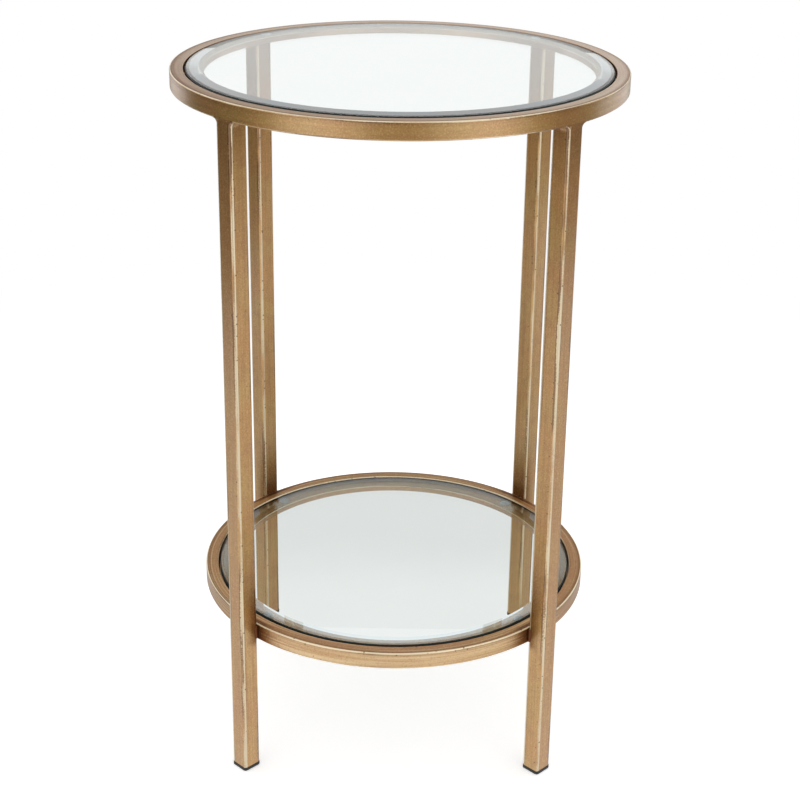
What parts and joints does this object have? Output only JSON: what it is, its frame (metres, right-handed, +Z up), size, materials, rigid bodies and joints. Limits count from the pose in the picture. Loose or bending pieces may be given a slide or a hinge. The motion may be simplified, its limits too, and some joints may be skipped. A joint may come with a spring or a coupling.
{
  "type": "tiered side table",
  "caption": "Round two-tier side table: a welded square-tube frame with rolled rims that hold lay-in bevelled glass discs as top and shelf.",
  "frame": {"origin": "on the floor, on the table's vertical axis", "axes": "+Z up, -Y towards the front, +X to the right seen from the front"},
  "size_m": [0.4, 0.4, 0.6335],
  "materials": {
    "antique_gold_steel": "hand-brushed antique gold paint with paler rubbed edges, satin",
    "clear_glass": "clear float glass, polished bevel",
    "black_plastic": "moulded, matt black",
    "clear_silicone": "clear, soft"
  },
  "bodies": {
    "frame": {"top_rim": "antique_gold_steel", "top_ledge": "antique_gold_steel", "top_ledge_welds": "antique_gold_steel", "top_bumper_front_left": "clear_silicone", "top_bumper_front_right": "clear_silicone", "top_bumper_back_right": "clear_silicone", "top_bumper_back_left": "clear_silicone", "shelf_rim": "antique_gold_steel", "shelf_ledge": "antique_gold_steel", "shelf_ledge_welds": "antique_gold_steel", "shelf_bumper_front_left": "clear_silicone", "shelf_bumper_front_right": "clear_silicone", "shelf_bumper_back_right": "clear_silicone", "shelf_bumper_back_left": "clear_silicone", "leg_front_left": "antique_gold_steel", "foot_cap_front_left": "black_plastic", "top_weld_front_left": "antique_gold_steel", "shelf_weld_front_left": "antique_gold_steel", "leg_front_right": "antique_gold_steel", "foot_cap_front_right": "black_plastic", "top_weld_front_right": "antique_gold_steel", "shelf_weld_front_right": "antique_gold_steel", "leg_back_right": "antique_gold_steel", "foot_cap_back_right": "black_plastic", "top_weld_back_right": "antique_gold_steel", "shelf_weld_back_right": "antique_gold_steel", "leg_back_left": "antique_gold_steel", "foot_cap_back_left": "black_plastic", "top_weld_back_left": "antique_gold_steel", "shelf_weld_back_left": "antique_gold_steel"},
    "top_disc": {"top_glass": "clear_glass"},
    "shelf_disc": {"shelf_glass": "clear_glass"}
  },
  "joints": [
    {"name": "top_glass_lift", "type": "slide", "parent": "frame", "child": "top_disc", "axis": [0, 0, 1], "range_m": [0, 0.12]},
    {"name": "shelf_glass_lift", "type": "slide", "parent": "frame", "child": "shelf_disc", "axis": [0, 0, 1], "range_m": [0, 0.4]}
  ]
}
